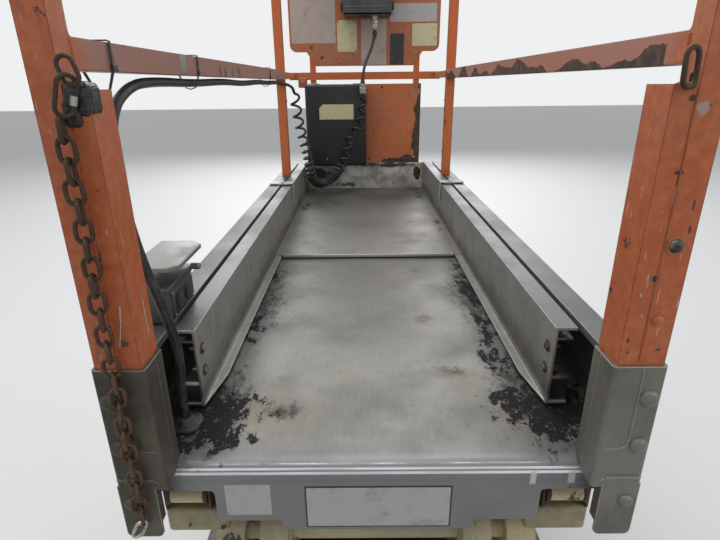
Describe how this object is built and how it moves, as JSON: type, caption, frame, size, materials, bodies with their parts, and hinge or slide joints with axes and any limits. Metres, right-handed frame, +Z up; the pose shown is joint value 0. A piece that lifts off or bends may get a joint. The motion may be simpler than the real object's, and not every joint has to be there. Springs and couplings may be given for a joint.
{
  "type": "scissor lift",
  "caption": "Narrow electric slab scissor lift with folded arm stack, steered front wheels, bare metal platform, orange guard rails and a roll-out deck extension.",
  "frame": {"origin": "on the floor under the centre of the machine", "axes": "+X to the right, +Y forward to the extension end, +Z up"},
  "size_m": [0.76, 1.972, 2],
  "materials": {
    "dark_frame": "semi-gloss paint, scuffed",
    "orange_paint": "worn gloss paint, chipped",
    "cream_paint": "gloss paint, dusty",
    "tyre": "solid rubber, matt",
    "rim_paint": "gloss paint",
    "bare_metal": "worn bare metal with black marks",
    "black_plastic": "matt moulded plastic",
    "dark_steel": "black paint",
    "chrome": "polished",
    "grey_plastic": "matt grey",
    "grey_casting": "dull cast metal",
    "black_rubber": "matt rubber",
    "rusty_chain": "rusty steel"
  },
  "bodies": {
    "chassis": {"chassis_frame": "dark_frame", "top_plate": "dark_frame", "end_plates": "dark_frame", "bulkheads": "dark_frame", "kingpin_housings": "dark_frame", "rear_axle": "dark_frame", "arm_mounts": "dark_frame", "access_ladder": "cream_paint"},
    "wheel_rear_left": {"tyre_rear_left": "tyre", "rim_rear_left": "rim_paint"},
    "wheel_rear_right": {"tyre_rear_right": "tyre", "rim_rear_right": "rim_paint"},
    "wheel_front_left": {"tyre_front_left": "tyre", "rim_front_left": "rim_paint"},
    "wheel_front_right": {"tyre_front_right": "tyre", "rim_front_right": "rim_paint"},
    "knuckle_left": {"knuckle_left": "dark_frame"},
    "knuckle_right": {"knuckle_right": "dark_frame"},
    "tie_rod": {"tie_rod": "dark_frame"},
    "battery_tray": {"tray_left": "orange_paint", "batteries": "black_plastic"},
    "power_tray": {"tray_right": "orange_paint", "power_unit": "dark_steel"},
    "guard_left": {"pothole_guard_left": "dark_frame"},
    "guard_right": {"pothole_guard_right": "dark_frame"},
    "outer_pair_1": {"outer_arms_1": "cream_paint"},
    "inner_pair_1": {"inner_arms_1": "cream_paint"},
    "outer_pair_2": {"outer_arms_2": "cream_paint"},
    "inner_pair_2": {"inner_arms_2": "cream_paint"},
    "outer_pair_3": {"outer_arms_3": "cream_paint"},
    "inner_pair_3": {"inner_arms_3": "cream_paint"},
    "outer_pair_4": {"outer_arms_4": "cream_paint"},
    "inner_pair_4": {"inner_arms_4": "cream_paint"},
    "cylinder_barrel": {"cylinder_barrel": "dark_steel"},
    "cylinder_rod": {"cylinder_rod": "chrome"},
    "platform": {"main_deck": "bare_metal", "platform_underframe": "cream_paint", "outer_channel_left": "bare_metal", "outer_channel_right": "bare_metal", "post_socket_left": "bare_metal", "post_socket_right": "bare_metal", "side_rail_left": "orange_paint", "side_rail_right": "orange_paint", "outlet_box": "grey_casting", "cable_grommet": "black_rubber", "power_cable": "black_rubber", "entry_chain": "rusty_chain"},
    "extension": {"extension_deck": "bare_metal", "inner_channel_left": "bare_metal", "inner_channel_right": "bare_metal", "wear_blocks": "black_plastic", "front_rail": "orange_paint", "lower_panel": "orange_paint", "upper_panel": "orange_paint", "manual_box": "black_plastic", "control_box": "grey_plastic", "cord_gland": "grey_plastic", "control_cable": "black_rubber", "curly_cord": "black_rubber"}
  },
  "joints": [
    {"name": "wheel_rear_left_spin", "type": "hinge", "parent": "chassis", "child": "wheel_rear_left", "pos_m": [-0.33, -0.69, 0.1615], "axis": [1, 0, 0], "continuous": true},
    {"name": "wheel_rear_right_spin", "type": "hinge", "parent": "chassis", "child": "wheel_rear_right", "pos_m": [0.33, -0.69, 0.1615], "axis": [1, 0, 0], "continuous": true},
    {"name": "wheel_front_left_spin", "type": "hinge", "parent": "knuckle_left", "child": "wheel_front_left", "pos_m": [-0.33, 0.69, 0.1615], "axis": [1, 0, 0], "continuous": true},
    {"name": "wheel_front_right_spin", "type": "hinge", "parent": "knuckle_right", "child": "wheel_front_right", "pos_m": [0.33, 0.69, 0.1615], "axis": [1, 0, 0], "continuous": true},
    {"name": "steer_left", "type": "hinge", "parent": "chassis", "child": "knuckle_left", "pos_m": [-0.27, 0.69, 0.38], "axis": [0, 0, 1], "range_deg": [-55, 55]},
    {"name": "steer_right", "type": "hinge", "parent": "chassis", "child": "knuckle_right", "pos_m": [0.27, 0.69, 0.38], "axis": [0, 0, 1], "range_deg": [-55, 55]},
    {"name": "tie_rod_pivot", "type": "hinge", "parent": "knuckle_left", "child": "tie_rod", "pos_m": [-0.27, 0.79, 0.376], "axis": [0, 0, 1], "range_deg": [-55, 55]},
    {"name": "battery_tray_swing", "type": "hinge", "parent": "chassis", "child": "battery_tray", "pos_m": [-0.368, -0.479, 0.275], "axis": [0, 0, 1], "range_deg": [0, 90]},
    {"name": "power_tray_swing", "type": "hinge", "parent": "chassis", "child": "power_tray", "pos_m": [0.368, -0.479, 0.275], "axis": [0, 0, -1], "range_deg": [0, 90]},
    {"name": "guard_left_fold", "type": "hinge", "parent": "chassis", "child": "guard_left", "pos_m": [-0.364, 0, 0.109], "axis": [0, 1, 0], "range_deg": [0, 90]},
    {"name": "guard_right_fold", "type": "hinge", "parent": "chassis", "child": "guard_right", "pos_m": [0.364, 0, 0.109], "axis": [0, -1, 0], "range_deg": [0, 90]},
    {"name": "lift", "type": "hinge", "parent": "chassis", "child": "outer_pair_1", "pos_m": [0, -0.815, 0.49], "axis": [1, 0, 0], "range_deg": [0, 51]},
    {"name": "centre_1", "type": "hinge", "parent": "outer_pair_1", "child": "inner_pair_1", "pos_m": [0, -0.01613, 0.5325], "axis": [1, 0, 0], "range_deg": [-102, 0]},
    {"name": "rear_1", "type": "hinge", "parent": "inner_pair_1", "child": "outer_pair_2", "pos_m": [0, -0.815, 0.575], "axis": [1, 0, 0], "range_deg": [0, 102]},
    {"name": "centre_2", "type": "hinge", "parent": "outer_pair_2", "child": "inner_pair_2", "pos_m": [0, -0.01613, 0.6175], "axis": [1, 0, 0], "range_deg": [-102, 0]},
    {"name": "rear_2", "type": "hinge", "parent": "inner_pair_2", "child": "outer_pair_3", "pos_m": [0, -0.815, 0.66], "axis": [1, 0, 0], "range_deg": [0, 102]},
    {"name": "centre_3", "type": "hinge", "parent": "outer_pair_3", "child": "inner_pair_3", "pos_m": [0, -0.01613, 0.7025], "axis": [1, 0, 0], "range_deg": [-102, 0]},
    {"name": "rear_3", "type": "hinge", "parent": "inner_pair_3", "child": "outer_pair_4", "pos_m": [0, -0.815, 0.745], "axis": [1, 0, 0], "range_deg": [0, 102]},
    {"name": "centre_4", "type": "hinge", "parent": "outer_pair_4", "child": "inner_pair_4", "pos_m": [0, -0.01613, 0.7875], "axis": [1, 0, 0], "range_deg": [-102, 0]},
    {"name": "platform_pivot", "type": "hinge", "parent": "inner_pair_4", "child": "platform", "pos_m": [0, -0.815, 0.83], "axis": [1, 0, 0], "range_deg": [0, 51]},
    {"name": "barrel_swing", "type": "hinge", "parent": "inner_pair_1", "child": "cylinder_barrel", "pos_m": [0, -0.57534, 0.56225], "axis": [1, 0, 0], "range_deg": [0, 101.25]},
    {"name": "rod_slide", "type": "slide", "parent": "cylinder_barrel", "child": "cylinder_rod", "axis": [0, 0.9884, 0.1516], "range_m": [0, 0.18105]},
    {"name": "extension_slide", "type": "slide", "parent": "platform", "child": "extension", "axis": [0, 1, 0], "range_m": [0, 0.9]}
  ],
  "couplings": [
    {"joint": "steer_right", "follows": "steer_left", "ratio": 1},
    {"joint": "tie_rod_pivot", "follows": "steer_left", "ratio": -1},
    {"joint": "centre_1", "follows": "lift", "ratio": -2},
    {"joint": "rear_1", "follows": "lift", "ratio": 2},
    {"joint": "centre_2", "follows": "lift", "ratio": -2},
    {"joint": "rear_2", "follows": "lift", "ratio": 2},
    {"joint": "centre_3", "follows": "lift", "ratio": -2},
    {"joint": "rear_3", "follows": "lift", "ratio": 2},
    {"joint": "centre_4", "follows": "lift", "ratio": -2},
    {"joint": "platform_pivot", "follows": "lift", "ratio": 1},
    {"joint": "barrel_swing", "follows": "lift", "ratio": 1.9851},
    {"joint": "rod_slide", "follows": "lift", "m_per_rad": 0.20329},
    {"joint": "guard_left_fold", "follows": "lift", "ratio": 1.7647},
    {"joint": "guard_right_fold", "follows": "lift", "ratio": 1.7647}
  ]
}
